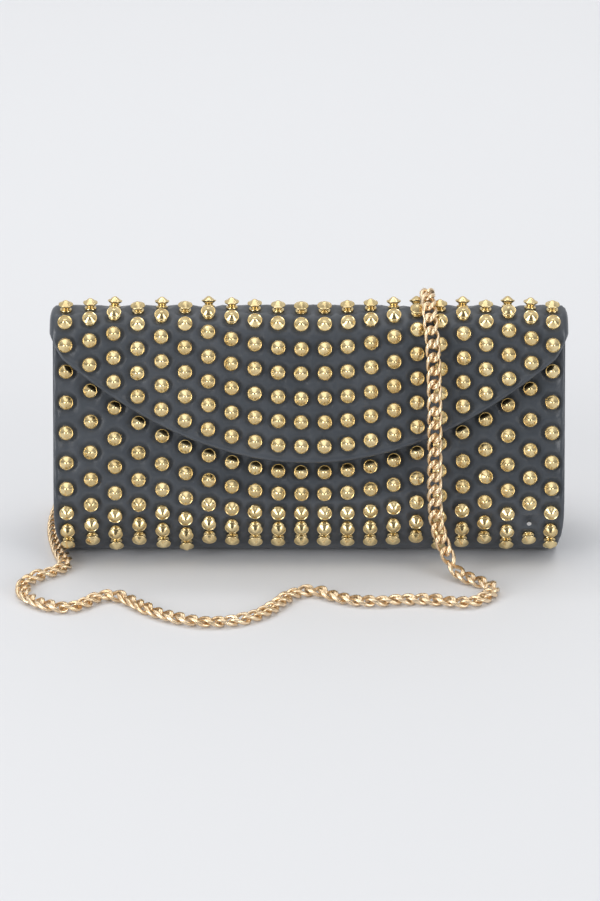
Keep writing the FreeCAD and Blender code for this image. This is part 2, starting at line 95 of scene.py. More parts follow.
# ---------------------------------------------------------------- side profile
def front_profile(run, off):
    """(y, z, normal y, normal z) of the front panel and base.

    run is the way along the surface from the base's middle line, off the distance outside it.
    """
    flat = run < TOE_RUN
    turn = np.clip(run, TOE_RUN, BASE_ARC) / BASE_R
    ny, nz = -np.sin(turn), -np.cos(turn)
    y, z = ny * BASE_R, BASE_Z + nz * BASE_R
    up = np.maximum(run - BASE_ARC, 0)
    y, z = y + up * math.sin(LEAN), z + up * math.cos(LEAN)
    y = np.where(flat, -TOE * run / TOE_RUN, y)
    blend = np.clip(run / TOE_RUN, 0, 1)
    ny, nz = np.where(flat, ny * blend, ny), np.where(flat, -1, nz)
    size = np.hypot(ny, nz)
    ny, nz = ny / size, nz / size
    return y + ny * off, z + nz * off, ny, nz


def whole_front(run, off):
    """The front profile carried on up the back, where run is negative."""
    y, z, ny, nz = front_profile(np.abs(run), off)
    back = run < 0
    return np.where(back, -y, y), z, np.where(back, -ny, ny), nz


def wrap_profile(run, off):
    """The same for the flap, the crest and the back panel.

    Here run starts at the foot of the flap's straight wall and goes up, over the crest and down the back.
    """
    cos, sin = math.cos(LEAN), math.sin(LEAN)
    front = run < FRONT_RUN
    crest = (run >= FRONT_RUN) & (run < BACK_SHOULDER)
    wall = (run >= BACK_SHOULDER) & (run < BACK_FOOT)
    turn = np.where(front, 0, np.clip((run - FRONT_RUN) / CREST_R, 0, CREST_ARC))
    low = np.clip((run - BACK_FOOT) / BASE_R, 0, (BASE_ARC - TOE_RUN) / BASE_R)
    angle = LEAN + turn
    ny, nz = -np.cos(angle), np.sin(angle)
    ny_low, nz_low = np.cos(LEAN - low), np.sin(LEAN - low)
    base = run >= BACK_FOOT
    ny, nz = np.where(base, ny_low, ny), np.where(base, nz_low, nz)
    y = np.select([front, crest, wall],
                  [-cos * (BASE_R + STAND) + sin * run, CREST_Y + CREST_R * ny,
                   CREST_Y + CREST_R * cos + sin * (run - BACK_SHOULDER)], BASE_R * ny)
    z = np.select([front, crest, wall],
                  [BASE_Z + sin * (BASE_R + STAND) + cos * run, CREST_Z + CREST_R * nz,
                   CREST_Z + CREST_R * sin - cos * (run - BACK_SHOULDER)], BASE_Z + BASE_R * nz)
    under = run > BACK_TOE
    y, z = np.where(under, TOE - (run - BACK_TOE), y), np.where(under, 0, z)
    ny, nz = np.where(under, 0, ny), np.where(under, -1, nz)
    return y + ny * off, z + nz * off, ny, nz


def run_at(z):
    """Run of the front panel at height z, on its leaning wall."""
    return BASE_ARC + (z - BASE_Z - BASE_R * math.sin(LEAN)) / math.cos(LEAN)


def wall_y(z, off, side=-1):
    """Y of a leaning wall's surface at height z, off outside the body leather."""
    return side * (BASE_R + off - (z - BASE_Z) * math.sin(LEAN)) / math.cos(LEAN)


def edge_run(x):
    """Run of the flap's lower edge at x: a parabola that turns up at its two corners."""
    x = np.abs(x)
    z = EDGE_Z + EDGE_CURVE * np.minimum(x, EDGE_REACH) ** 2
    z = z + EDGE_CORNER * np.clip((x - EDGE_REACH) / (HALF_FLAP - EDGE_REACH), 0, 1) ** EDGE_TURN
    return (z - BASE_Z - math.sin(LEAN) * (BASE_R + STAND)) / math.cos(LEAN)


# ---------------------------------------------------------------- mesh helpers
def mesh_object(name, verts, faces, material):
    """A smooth-shaded mesh with one material, linked to the scene."""
    mesh = bpy.data.meshes.new(name)
    mesh.from_pydata([tuple(v) for v in verts], [], [tuple(f) for f in faces])
    mesh.update()
    mesh.shade_smooth()
    mesh.materials.append(material)
    piece = bpy.data.objects.new(name, mesh)
    bpy.context.collection.objects.link(piece)
    return piece


def spread(low, high, step, fine=(0.0, 0.15 * MM, 0.4 * MM, 0.8 * MM, 1.4 * MM)):
    """Positions from low to high about a step apart, and at the distances in fine from both ends."""
    count = max(2, round((high - low - 2 * fine[-1]) / step) + 1)
    inner = np.linspace(low + fine[-1], high - fine[-1], count)
    return np.concatenate([[low + f for f in fine[:-1]], inner, [high - f for f in reversed(fine[:-1])]])


def shell(name, points, normals, thickness, borders, material, smooth_side=None):
    """A leather or cloth layer with a rounded rim from a grid of points, normals and border distances.

    smooth_side holds the points that the hidden side follows, where the shown side is dimpled.
    """
    smooth_side = points if smooth_side is None else smooth_side
    rows, columns = borders.shape
    half = thickness / 2
    near = np.clip(borders, 0, half)
    drop = half - np.sqrt(np.maximum(half ** 2 - (half - near) ** 2, 0))
    outer = points - normals * drop[..., None]
    inner = smooth_side - normals * (thickness - drop)[..., None]
    verts = np.concatenate([outer.reshape(-1, 3), inner.reshape(-1, 3)])
    index = np.arange(rows * columns).reshape(rows, columns)
    under = index + rows * columns
    rim = np.zeros_like(borders, bool)
    rim[0], rim[-1], rim[:, 0], rim[:, -1] = True, True, True, True
    under = np.where(rim, index, under)
    a, b, c, d = index[:-1, :-1], index[:-1, 1:], index[1:, 1:], index[1:, :-1]
    e, f, g, h = under[:-1, :-1], under[:-1, 1:], under[1:, 1:], under[1:, :-1]
    shown, hidden = np.stack([a, b, c, d], -1), np.stack([h, g, f, e], -1)
    faces = np.concatenate([shown.reshape(-1, 4), hidden.reshape(-1, 4)])
    used = np.unique(faces)
    new = np.full(len(verts), -1)
    new[used] = np.arange(len(used))
    return mesh_object(name, verts[used], new[faces], material)


# ---------------------------------------------------------------- materials
def material(name, colour, roughness, metallic=0.0):
    """A new material with its node tree and its shader."""
    mat = bpy.data.materials.new(name)
    mat.use_nodes = True
    tree = mat.node_tree
    shader = tree.nodes["Principled BSDF"]
    shader.inputs["Base Color"].default_value = (*colour, 1)
    shader.inputs["Roughness"].default_value = roughness
    shader.inputs["Metallic"].default_value = metallic
    return mat, tree, shader


def node(tree, kind, **values):
    """A new node with its sockets or its settings set by name."""
    n = tree.nodes.new(kind)
    for key, value in values.items():
        if key in n.inputs:
            n.inputs[key].default_value = value
        else:
            setattr(n, key, value)
    return n


def ramp(tree, source, low, high, colour_low, colour_high):
    """The colour that runs from one tone to another as the source goes from low to high."""
    n = node(tree, "ShaderNodeValToRGB")
    n.color_ramp.elements[0].position, n.color_ramp.elements[1].position = low, high
    n.color_ramp.elements[0].color = (*colour_low, 1)
    n.color_ramp.elements[1].color = (*colour_high, 1)
    tree.links.new(source, n.inputs["Fac"])
    return n.outputs["Color"]


def place(tree):
    """The place on the object, in metres."""
    return node(tree, "ShaderNodeTexCoord").outputs["Object"]


def roughen(tree, shader, source, low, high):
    """Lets the shader's roughness run from low to high with the source."""
    n = node(tree, "ShaderNodeMapRange")
    n.inputs["To Min"].default_value, n.inputs["To Max"].default_value = low, high
    tree.links.new(source, n.inputs["Value"])
    tree.links.new(n.outputs["Result"], shader.inputs["Roughness"])


def bump(tree, shader, height, strength, distance, below=None):
    """Adds relief to the shader, over the relief below if there is one."""
    n = node(tree, "ShaderNodeBump", Strength=strength, Distance=distance)
    tree.links.new(height, n.inputs["Height"])
    if below is not None:
        tree.links.new(below, n.inputs["Normal"])
    tree.links.new(n.outputs["Normal"], shader.inputs["Normal"])
    return n.outputs["Normal"]


def leather_material(name, light, dark, roughness):
    """Fine-grained satin leather with soft creases and slow changes of tone."""
    mat, tree, shader = material(name, light, roughness)
    at = place(tree)
    cloud = node(tree, "ShaderNodeTexNoise", Scale=26.0, Detail=4.0, Roughness=0.55)
    grain = node(tree, "ShaderNodeTexVoronoi", Scale=1500.0, feature="F1")
    pores = node(tree, "ShaderNodeTexNoise", Scale=2600.0, Detail=2.0)
    crease = node(tree, "ShaderNodeTexNoise", Scale=150.0, Detail=5.0, Roughness=0.6, Distortion=0.8)
    for n in (cloud, grain, pores, crease):
        tree.links.new(at, n.inputs["Vector"])
    tree.links.new(ramp(tree, cloud.outputs["Fac"], 0.3, 0.7, dark, light), shader.inputs["Base Color"])
    roughen(tree, shader, crease.outputs["Fac"], roughness - 0.06, roughness + 0.1)
    creased = bump(tree, shader, crease.outputs["Fac"], strength=0.35, distance=0.6 * MM)
    grained = bump(tree, shader, grain.outputs["Distance"], strength=0.22, distance=0.12 * MM, below=creased)
    bump(tree, shader, pores.outputs["Fac"], strength=0.12, distance=0.06 * MM, below=grained)
    return mat


def metal_material(name, light, dark, roughness):
    """Plated polished metal: slow changes of tone, faint polishing marks and smudges."""
    mat, tree, shader = material(name, light, roughness, metallic=1.0)
    at = place(tree)
    tone = node(tree, "ShaderNodeTexNoise", Scale=60.0, Detail=3.0)
    smudge = node(tree, "ShaderNodeTexNoise", Scale=420.0, Detail=4.0, Roughness=0.7)
    for n in (tone, smudge):
        tree.links.new(at, n.inputs["Vector"])
    tree.links.new(ramp(tree, tone.outputs["Fac"], 0.35, 0.65, dark, light), shader.inputs["Base Color"])
    roughen(tree, shader, smudge.outputs["Fac"], roughness * 0.7, roughness * 1.4)
    bump(tree, shader, smudge.outputs["Fac"], strength=0.12, distance=0.08 * MM)
    return mat


def woven_material(name, light, dark, pitch):
    """Plain woven cloth: crossed ribs at the thread's pitch."""
    unit_wave = 2 * math.pi / 20  # length of one wave of the texture at scale 1
    mat, tree, shader = material(name, light, roughness=0.85)
    at = place(tree)
    ribs = []
    for axis in ("X", "Z"):
        rib = node(tree, "ShaderNodeTexWave", Scale=unit_wave / pitch, Distortion=0.6)
        rib.bands_direction = axis
        tree.links.new(at, rib.inputs["Vector"])
        ribs.append(rib.outputs["Fac"])
    both = node(tree, "ShaderNodeMath", operation="MULTIPLY")
    tree.links.new(ribs[0], both.inputs[0])
    tree.links.new(ribs[1], both.inputs[1])
    tree.links.new(ramp(tree, both.outputs[0], 0.0, 0.8, dark, light), shader.inputs["Base Color"])
    bump(tree, shader, both.outputs[0], strength=0.5, distance=0.1 * MM)
    return mat


LEATHER_MAT = leather_material("studded_leather", (0.074, 0.083, 0.097), (0.046, 0.054, 0.065), 0.33)
INNER_MAT = leather_material("inner_leather", (0.105, 0.108, 0.116), (0.070, 0.073, 0.080), 0.5)
STUD_MAT = metal_material("stud_gold", (0.87, 0.71, 0.40), (0.75, 0.58, 0.29), 0.22)
CHAIN_MAT = metal_material("chain_gold", (0.95, 0.76, 0.53), (0.88, 0.66, 0.41), 0.27)
NICKEL_MAT = metal_material("nickel", (0.70, 0.69, 0.67), (0.62, 0.61, 0.60), 0.2)
LINING_MAT = woven_material("lining_cloth", (0.075, 0.076, 0.082), (0.035, 0.036, 0.040), 0.7 * MM)
TAPE_MAT = woven_material("zip_tape_cloth", (0.028, 0.028, 0.031), (0.010, 0.010, 0.012), 0.5 * MM)
BOARD_MAT = leather_material("fibre_board", (0.055, 0.050, 0.047), (0.038, 0.034, 0.032), 0.8)

NODE_MATERIALS = {
    "leather": INNER_MAT, "lining": LINING_MAT, "board": BOARD_MAT, "stud": STUD_MAT, "chain": CHAIN_MAT,
    "nickel": NICKEL_MAT, "zip_tape": TAPE_MAT, "zip_metal": STUD_MAT,
}
for entry in frame["record"]["subparts"]:
    cad = frame["nodes"][entry["node"]]
    for s in cad.material_slots:
        s.material = NODE_MATERIALS[entry["material_slot"]]


# ---------------------------------------------------------------- camera, floor and light
VIEW_HEIGHT, DISTANCE, NEARNESS, SENSOR = 0.45951, 2.2, 0.992, 36
CAMERA_ELEVATION = math.radians(22)
AIM = Vector((-0.0046, -0.020, 0.0588))


def add_camera():
    """A camera that looks slightly down on the front and sees a little over VIEW_HEIGHT at AIM."""
    data = bpy.data.cameras.new("camera")
    data.sensor_width = SENSOR
    data.lens = SENSOR * DISTANCE / VIEW_HEIGHT * NEARNESS
    data.clip_end = 20
    camera = bpy.data.objects.new("camera", data)
    bpy.context.collection.objects.link(camera)
    back = Vector((0, -math.cos(CAMERA_ELEVATION), math.sin(CAMERA_ELEVATION)))
    camera.location = AIM + back * DISTANCE
    camera.rotation_euler = (-back).to_track_quat("-Z", "Y").to_euler()
    bpy.context.scene.camera = camera
    bpy.context.scene.view_settings.view_transform = "Standard"


def paper_floor(half):
    """A pale paper floor, wide enough to fill the view from every side."""
    mat, tree, shader = material("paper", (0.77, 0.78, 0.805), roughness=0.75)
    fibre = node(tree, "ShaderNodeTexNoise", Scale=500.0, Detail=3.0)
    tree.links.new(place(tree), fibre.inputs["Vector"])
    bump(tree, shader, fibre.outputs["Fac"], strength=0.05, distance=0.2 * MM)
    corners = [(x, y, 0) for y in (-half, half) for x in (-half, half)]
    mesh_object("paper_sweep", corners, [(0, 1, 3, 2)], mat)


def area_light(name, at, aim, width, height, power):
    """A white soft box of the given size, turned towards aim."""
    data = bpy.data.lights.new(name, "AREA")
    data.shape, data.size, data.size_y, data.energy = "RECTANGLE", width, height, power
    light = bpy.data.objects.new(name, data)
    light.location = at
    light.rotation_euler = (Vector(aim) - Vector(at)).to_track_quat("-Z", "Y").to_euler()
    bpy.context.collection.objects.link(light)


def world_light(strength):
    """Studio for the metal to mirror: bright above and behind, dark along the horizon at the front."""
    world = bpy.data.worlds.new("studio")
    bpy.context.scene.world = world
    world.use_nodes = True
    tree = world.node_tree
    split = node(tree, "ShaderNodeSeparateXYZ")
    tree.links.new(node(tree, "ShaderNodeTexCoord").outputs["Generated"], split.inputs["Vector"])
    height = ramp(tree, split.outputs["Z"], 0.16, 0.80, (0.03, 0.028, 0.026), (0.62, 0.62, 0.62))
    level = node(tree, "ShaderNodeMapRange")
    level.inputs["From Min"].default_value, level.inputs["From Max"].default_value = -0.35, 0.25
    tree.links.new(split.outputs["Y"], level.inputs["Value"])
    tone = node(tree, "ShaderNodeMix", data_type="RGBA")
    tree.links.new(level.outputs["Result"], tone.inputs["Factor"])
    tree.links.new(height, tone.inputs["A"])
    tone.inputs["B"].default_value = (1, 1, 1, 1)
    background = tree.nodes["Background"]
    background.inputs["Strength"].default_value = strength
    tree.links.new(tone.outputs["Result"], background.inputs["Color"])


add_camera()
paper_floor(half=9.0)
world_light(strength=0.70)
area_light("top_soft_box", (-0.2, -0.3, 2.0), (0, 0, 0.05), 2.4, 1.6, 12)
area_light("left_soft_box", (-1.6, -1.45, 0.7), (0, 0, 0.06), 1.1, 1.1, 24)
area_light("right_soft_box", (1.6, -1.45, 0.7), (0, 0, 0.06), 1.0, 1.1, 16)
area_light("backdrop_wash", (0, 0.7, 1.9), (0, 2.4, 0.6), 2.6, 0.8, 20)


# ---------------------------------------------------------------- chain
# One link: length, width, wire radius, distance to the next link, and how far its two wires are shifted.
LINK_LONG, LINK_WIDE, LINK_WIRE, LINK_PITCH, LINK_TWIN = 0.0114, 0.0080, 0.00080, 0.0068, 0.00055
# A link's ends are twisted by LINK_TWIST each way, and LINK_SQUARE under 1 fills out its oval.
LINK_TWIST, LINK_SQUARE = math.radians(52), 0.85
# Each link rolls and tilts by up to so many degrees, and its flat side follows what it lies on with a delay.
LINK_ROLL, LINK_TILT, OLD_SHARE, NEW_SHARE = 9, 4, 0.45, 0.55
# Height of the route on the floor, the height under which a link counts as lying there, and how far below
# a link on the wallet's wall the point is that it faces away from.
LIE, FLOOR_ZONE, FACING_DROP = 0.0028, 0.009, 0.015


def link_mesh(round_steps=28, wire_steps=8):
    """Vertices and faces of one twisted oval link of two wires, long along X and lying in the XY plane."""
    a, b = LINK_LONG / 2 - LINK_WIRE, LINK_WIDE / 2 - LINK_WIRE

    def centre(t):
        x = a * math.copysign(abs(math.cos(t)) ** LINK_SQUARE, math.cos(t))
        turn = LINK_TWIST * x / a
        y = b * math.sin(t)
        return Vector((x, y * math.cos(turn), y * math.sin(turn)))

    verts, faces = [], []
    for wire, shift in enumerate((-LINK_TWIN, LINK_TWIN)):
        first = wire * round_steps * wire_steps
        for i in range(round_steps):
            t = 2 * math.pi * i / round_steps
            here = centre(t)
            along = (centre(t + 0.01) - centre(t - 0.01)).normalized()
            out = (here - along * here.dot(along)).normalized()
            side = along.cross(out)
            for j in range(wire_steps):
                s = 2 * math.pi * j / wire_steps
                ring = (out * math.cos(s) + side * math.sin(s)) * LINK_WIRE
                verts.append(here + ring + Vector((shift, 0, 0)))
                k, n = (i + 1) % round_steps, (j + 1) % wire_steps
                faces.append((first + i * wire_steps + j, first + i * wire_steps + n,
                              first + k * wire_steps + n, first + k * wire_steps + j))
    return np.array(verts), np.array(faces)


def route_points(name, points):
    """Even points along the smooth line that the listed route makes."""
    data = bpy.data.curves.new(name + "_route", "CURVE")
    data.dimensions = "3D"
    data.resolution_u = 24
    line = data.splines.new("NURBS")
    line.points.add(len(points) - 1)
    for p, at in zip(line.points, points):
        p.co = (*[c * MM for c in at], 1)
    line.order_u = 3
    line.use_endpoint_u = True
    holder = bpy.data.objects.new(name + "_route", data)
    mesh = bpy.data.meshes.new_from_object(holder)
    smooth = np.array([v.co for v in mesh.vertices])
    bpy.data.objects.remove(holder)
    bpy.data.curves.remove(data)
    bpy.data.meshes.remove(mesh)
    gaps = np.linalg.norm(np.diff(smooth, axis=0), axis=1)
    total = np.concatenate([[0], np.cumsum(gaps)])
    count = round(total[-1] / LINK_PITCH)
    where = np.linspace(0, total[-1], 2 * count + 1)
    even = np.stack([np.interp(where, total, smooth[:, k]) for k in range(3)], 1)
    return even, total[-1]


def away_from_wallet(at):
    """The direction that a flat-lying chain faces: up on the floor, outward on the wallet."""
    y, z = at[1], at[2]
    if z < FLOOR_ZONE:
        return Z_UP
    if z > CREST_Z:
        centre = Vector((0, CREST_Y, CREST_Z))
    else:
        centre = Vector((0, 0, max(BASE_Z, min(z - FACING_DROP, CREST_Z))))
    return Vector((0, y - centre.y, z - centre.z)).normalized()


def chain(name, points):
    """One stretch of curb chain as links that follow the route; returns piece, points and length."""
    link_verts, link_faces = link_mesh()
    even, length = route_points(name, points)
    verts, faces, flat = [], [], None
    for i in range(1, len(even), 2):
        ahead = Vector(even[min(i + 1, len(even) - 1)] - even[i - 1]).normalized()
        facing = away_from_wallet(even[i])
        flat = facing if flat is None else (flat * OLD_SHARE + facing * NEW_SHARE).normalized()
        side = flat.cross(ahead).normalized()
        up = ahead.cross(side)
        roll = Matrix.Rotation(math.radians(RNG.uniform(-LINK_ROLL, LINK_ROLL)), 3, ahead)
        pitch = Matrix.Rotation(math.radians(RNG.uniform(-LINK_TILT, LINK_TILT)), 3, side)
        axes = pitch @ roll @ Matrix((ahead, side, up)).transposed()
        faces.append(link_faces + len(verts) * len(link_verts))
        verts.append(link_verts @ np.array(axes).T + even[i])
    piece = mesh_object(name, np.concatenate(verts), np.concatenate(faces), CHAIN_MAT)
    return piece, [tuple(p) for p in even], length


# Routes in millimetres: from the left ring over the floor, over the flap, and behind to the right ring.
# F is the height of a link that lies on the floor.
F = LIE / MM
FRONT_ROUTE = [
    (-118, 25.0, 88), (-118, 39, 60), (-120, 47, 32), (-127, 50, 8), (-133, 36, F),
    (-134, 8, F), (-130, -20, F), (-123, -42, F), (-145.5, -56, F), (-145.5, -80, F),
    (-121, -97, F), (-101, -70, F), (-78, -99, F), (-52, -112, F), (-24, -104, F),
    (-4, -64, F), (24, -87, F), (56, -80, F), (84, -89, F), (97, -66, F),
    (76, -53, F), (73, -49, 8),
]
DRAPE_ROUTE = [
    (73, -49, 8), (66, -44, 22), (64, -43.5, 40), (64, -44, 70), (63.5, -29, 112), (61.5, -19, 132),
    (60.5, -2, 139), (60.5, 10, 133), (61, 22, 116), (62, 31, 94), (62, 40, 64), (62, 48, 36), (64, 58, 16),
]
BACK_ROUTE = [
    (64, 58, 16), (67, 66, F), (76, 83, F), (97, 87, F), (113, 74, F), (120, 52, 26), (119, 39, 60),
    (118, 25.0, 88),
]
chain_front, front_path, front_length = chain("chain_front_links", FRONT_ROUTE)
chain_drape, drape_path, drape_length = chain("chain_drape_links", DRAPE_ROUTE)
chain_back, back_path, back_length = chain("chain_back_links", BACK_ROUTE)


# ---------------------------------------------------------------- studs
# Spread of a stud's tilt, and how far below a stud the inner point is that it points away from.
STUD_TILT, HEART_DROP = 0.035, 0.02


def stud_places(node_name):
    """(seat, outward normal) of every stud in a CAD group, from its separate solids."""
    mesh = frame["nodes"][node_name].data
    points = np.array([v.co for v in mesh.vertices])
    # Points at the same place to the micrometre count as one.
    keys = {}
    same = np.array([keys.setdefault(tuple(k), len(keys)) for k in np.round(points * 1e6).astype(int)])
    unique = np.zeros((len(keys), 3))
    unique[same] = points
    parent = list(range(len(keys)))

    def root(i):
        while parent[i] != i:
            parent[i] = parent[parent[i]]
            i = parent[i]
        return i

    for edge in mesh.edges:
        a, b = root(same[edge.vertices[0]]), root(same[edge.vertices[1]])
        parent[a] = b
    groups = {}
    for i in range(len(keys)):
        groups.setdefault(root(i), []).append(i)
    places = []
    for members in groups.values():
        cloud = unique[members]
        low, high = cloud.min(0), cloud.max(0)
        middle = (low + high) / 2
        values, vectors = np.linalg.eigh(np.cov((cloud - cloud.mean(0)).T))
        # A stud's axis is the direction whose spread differs from the two others.
        odd = 0 if values[1] - values[0] > values[2] - values[1] else 2
        normal = vectors[:, odd]
        heart = np.array([middle[0], CREST_Y if middle[2] > CREST_Z else 0,
                          np.clip(middle[2] - HEART_DROP, BASE_Z, CREST_Z)])
        if normal @ (middle - heart) < 0:
            normal = -normal
        along = (cloud - middle) @ normal
        places.append((middle + normal * along.min(), normal))
    return places


def stud_mesh(steps=28):
    """One turned stud that points along Z, seat at the origin: neck, undercut, thin rim, cone, round tip."""
    # (radius, height) in millimetres, from under the leather to the tip.
    profile = [
        (2.7, -1.6), (2.95, -0.2), (3.05, 0.1), (2.95, 0.35), (2.35, 0.6), (2.1, 0.9), (2.1, 1.3),
        (2.45, 1.75), (3.05, 2.15), (3.5, 2.5), (3.70, 2.78), (3.75, 3.0), (3.71, 3.16), (3.60, 3.26),
        (3.46, 3.27), (3.34, 3.18), (3.24, 3.12), (3.12, 3.20), (2.6, 3.72), (1.8, 4.38), (1.05, 4.94),
        (0.72, 5.13), (0.40, 5.25), (0.15, 5.29),
    ]
    verts, faces = [], []
    for r, z in profile:
        for j in range(steps):
            a = 2 * math.pi * j / steps
            verts.append((r * MM * math.cos(a), r * MM * math.sin(a), z * MM))
    for i in range(len(profile) - 1):
        for j in range(steps):
            k = (j + 1) % steps
            faces.append((i * steps + j, i * steps + k, (i + 1) * steps + k, (i + 1) * steps + j))
    tip, foot = len(verts), len(verts) + 1
    verts += [(0, 0, profile[-1][1] * MM + 0.01 * MM), (0, 0, profile[0][1] * MM)]
    last = (len(profile) - 1) * steps
    faces += [(last + j, last + (j + 1) % steps, tip) for j in range(steps)]
    faces += [((j + 1) % steps, j, foot) for j in range(steps)]
    return np.array(verts), faces


def studs(name, node_name, body):
    """All studs of one group, each a little off square as hand-set studs are."""
    shape, shape_faces = stud_mesh()
    verts, faces = [], []
    places = stud_places(node_name)
    for seat, normal in places:
        tilt = Vector((RNG.gauss(0, STUD_TILT), RNG.gauss(0, STUD_TILT), RNG.gauss(0, STUD_TILT)))
        turn = Z_UP.rotation_difference((Vector(normal) + tilt).normalized()).to_matrix()
        spin = Matrix.Rotation(RNG.uniform(0, 6.28), 3, "Z")
        start = len(verts) * len(shape)
        faces += [tuple(start + i for i in f) for f in shape_faces]
        verts.append(shape @ np.array(turn @ spin).T + seat)
    piece = mesh_object(name, np.concatenate(verts), faces, STUD_MAT)
    piece.data.set_sharp_from_angle(angle=math.radians(38))
    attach(piece, body)
    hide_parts(node_name)
    return places


flap_places = studs("flap_stud_heads", "flap_studs", "flap")
body_places = studs("body_stud_heads", "body_studs", "body")
post_low, post_high = (np.array(c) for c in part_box("bare_stud_post"))


# ---------------------------------------------------------------- leather
STEP = 0.0014
# Padding between the studs, full from PUFF_START up, with a dimple and five soft puckers round every stud.
PUFF, PUFF_START = 0.0010, 0.012
DIMPLE, DIMPLE_REACH, PUCKER, PUCKERS = 0.0024, 0.0048, 0.00014, 5
# The crest's two ends turn down; the mouth's two ends rise; the lower corners draw in.
CREST_ROUND, CREST_START, CREST_FADE = 0.0065, 0.104, 0.016
EAR, EAR_START, EAR_LONG = 0.0085, 0.098, 0.028
CORNER_TAPER, CORNER_HIGH = 0.034, 0.03
# Where the flap's width starts to pass into the body's and over what depth; fine grid lines at a side.
WIDTH_START, WIDTH_FADE = 0.004, 0.010
FINE_ACROSS = (0, 0.0012, 0.003, 0.006, 0.0107)


def dimple(points, normals, places, depth, reach):
    """Sinks the surface round every stud, with a few soft radial puckers."""
    tree = KDTree(len(places))
    for i, (seat, _) in enumerate(places):
        tree.insert(seat, i)
    tree.balance()
    flat = points.reshape(-1, 3)
    away = np.empty(len(flat))
    twist = np.empty(len(flat))
    for i, p in enumerate(flat):
        seat, k, distance = tree.find(p)
        away[i] = distance
        local = p - np.array(seat)
        twist[i] = math.atan2(local[0], local[2]) * PUCKERS + k * 2.4
    sink = depth * np.exp(-(away / reach) ** 2)
    pucker = PUCKER * np.sin(twist) * np.exp(-((away - 1.5 * reach) / reach) ** 2)
    return points - normals * (sink + pucker).reshape(points.shape[:2])[..., None]


def soften(points, normals, amount, scale, keep_floor=True):
    """Slow unevenness, as in glued and stretched leather, fading out where the wallet stands."""
    flat = points.reshape(-1, 3)
    wave = np.array([noise.noise(Vector(p * scale)) for p in flat]).reshape(points.shape[:2])
    if keep_floor:
        wave = wave * np.clip(points[..., 2] / 0.02, 0, 1)
    return points - normals * (np.abs(wave) * amount)[..., None]


def taper(z):
    """Share of the half width left at height z: the wallet's lower corners are slightly rounded."""
    return 1 - CORNER_TAPER * np.clip(1 - z / CORNER_HIGH, 0, 1) ** 2


def lifted(z):
    """Share of the padding at height z, as a factor for normals."""
    return np.clip(z / PUFF_START, 0, 1)[..., None]


def crest_drop(us, z):
    """How far the ends of the crest turn down, as a factor for normals."""
    turned = np.clip((np.abs(us) * HALF_FLAP - HALF_FLAP + CREST_ROUND) / CREST_ROUND, 0, 1)
    drop = CREST_ROUND * (1 - np.sqrt(1 - turned ** 2))[None, :]
    return (drop * np.clip((z - CREST_START) / CREST_FADE, 0, 1))[..., None]


def rolled(x, y, z, ny, nz):
    """Points and normals of a sheet that bends only in the side view."""
    return np.stack([x, y, z], -1), np.stack([np.zeros_like(ny), ny, nz], -1)


def borders(points):
    """Distance of each grid point from the grid's edges, along the surface."""
    across = np.abs(points[..., 0])
    side = across.max(1)[:, None] - across
    step = np.linalg.norm(np.diff(points, axis=0), axis=2)
    run = np.concatenate([np.zeros((1, step.shape[1])), np.cumsum(step, 0)])
    return np.minimum(side, np.minimum(run, run[-1] - run))


def beaded(points, normals, edge, width=0.0013, height=0.0008):
    """A turned and stitched edge: a low bead a little in from the border."""
    return points + normals * (height * np.exp(-((edge - 1.5 * width) / width) ** 2))[..., None]


def body_front():
    """Front panel and base; the mouth rises at both ends under the flap's corners."""
    us = spread(-1.0, 1.0, STEP / HALF_BODY, FINE_ACROSS)
    rise = np.clip((np.abs(us) * HALF_BODY - EAR_START) / EAR_LONG, 0, 1)
    top = run_at(MOUTH + EAR * rise * rise * (3 - 2 * rise))
    share = spread(0.0, 1.0, 0.0085, (0, 0.0009, 0.0024, 0.0048, 0.0085))
    table = -TOE_RUN + share[:, None] * (top + TOE_RUN)[None, :]
    y, z, ny, nz = whole_front(table, 0)
    points, normals = rolled(us[None, :] * HALF_BODY * taper(z), y, z, ny, nz)
    edge = borders(points)
    flat = points.copy()
    post = [((post_low + post_high) / 2, None)]
    lift = lifted(z)
    points = dimple(points + normals * PUFF * lift, normals, body_places + post, DIMPLE, DIMPLE_REACH)
    points = soften(points, normals, amount=0.0006, scale=28)
    points = beaded(points, normals * lift, edge)
    piece = shell("front_panel_leather", points, normals, LEATHER, edge, LEATHER_MAT, flat)
    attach(piece, "body")
    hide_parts("body_leather")


def wrap_leather():
    """Flap, crest and back panel in one skin, with rounded crest ends."""
    us = spread(-1.0, 1.0, STEP / HALF_FLAP, FINE_ACROSS)
    start = edge_run(us * HALF_FLAP)
    share = spread(0.0, 1.0, 0.0065, (0, 0.0006, 0.0016, 0.0032, 0.0058))
    table = start[None, :] + share[:, None] * (BACK_MIDDLE - start)[None, :]
    y, z, ny, nz = wrap_profile(table, 0)
    half = HALF_FLAP + (HALF_BODY - HALF_FLAP) * np.clip((y - WIDTH_START) / WIDTH_FADE, 0, 1)
    half = np.where(table < FRONT_RUN, HALF_FLAP, half)
    low = np.where(table > BACK_SHOULDER, taper(z), 1)
    points, normals = rolled(us[None, :] * half * low, y, z, ny, nz)
    edge = borders(points)
    drop, lift = normals * crest_drop(us, z), lifted(z)
    flat = points - drop
    points = dimple(points + normals * PUFF * lift, normals, flap_places, DIMPLE, DIMPLE_REACH)
    points = soften(points, normals, amount=0.0006, scale=24)
    points = beaded(points, normals * lift, edge) - drop
    piece = shell("flap_and_back_leather", points, normals, LEATHER, edge, LEATHER_MAT, flat)
    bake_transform(piece)
    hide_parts("flap_leather")


body_front()
wrap_leather()


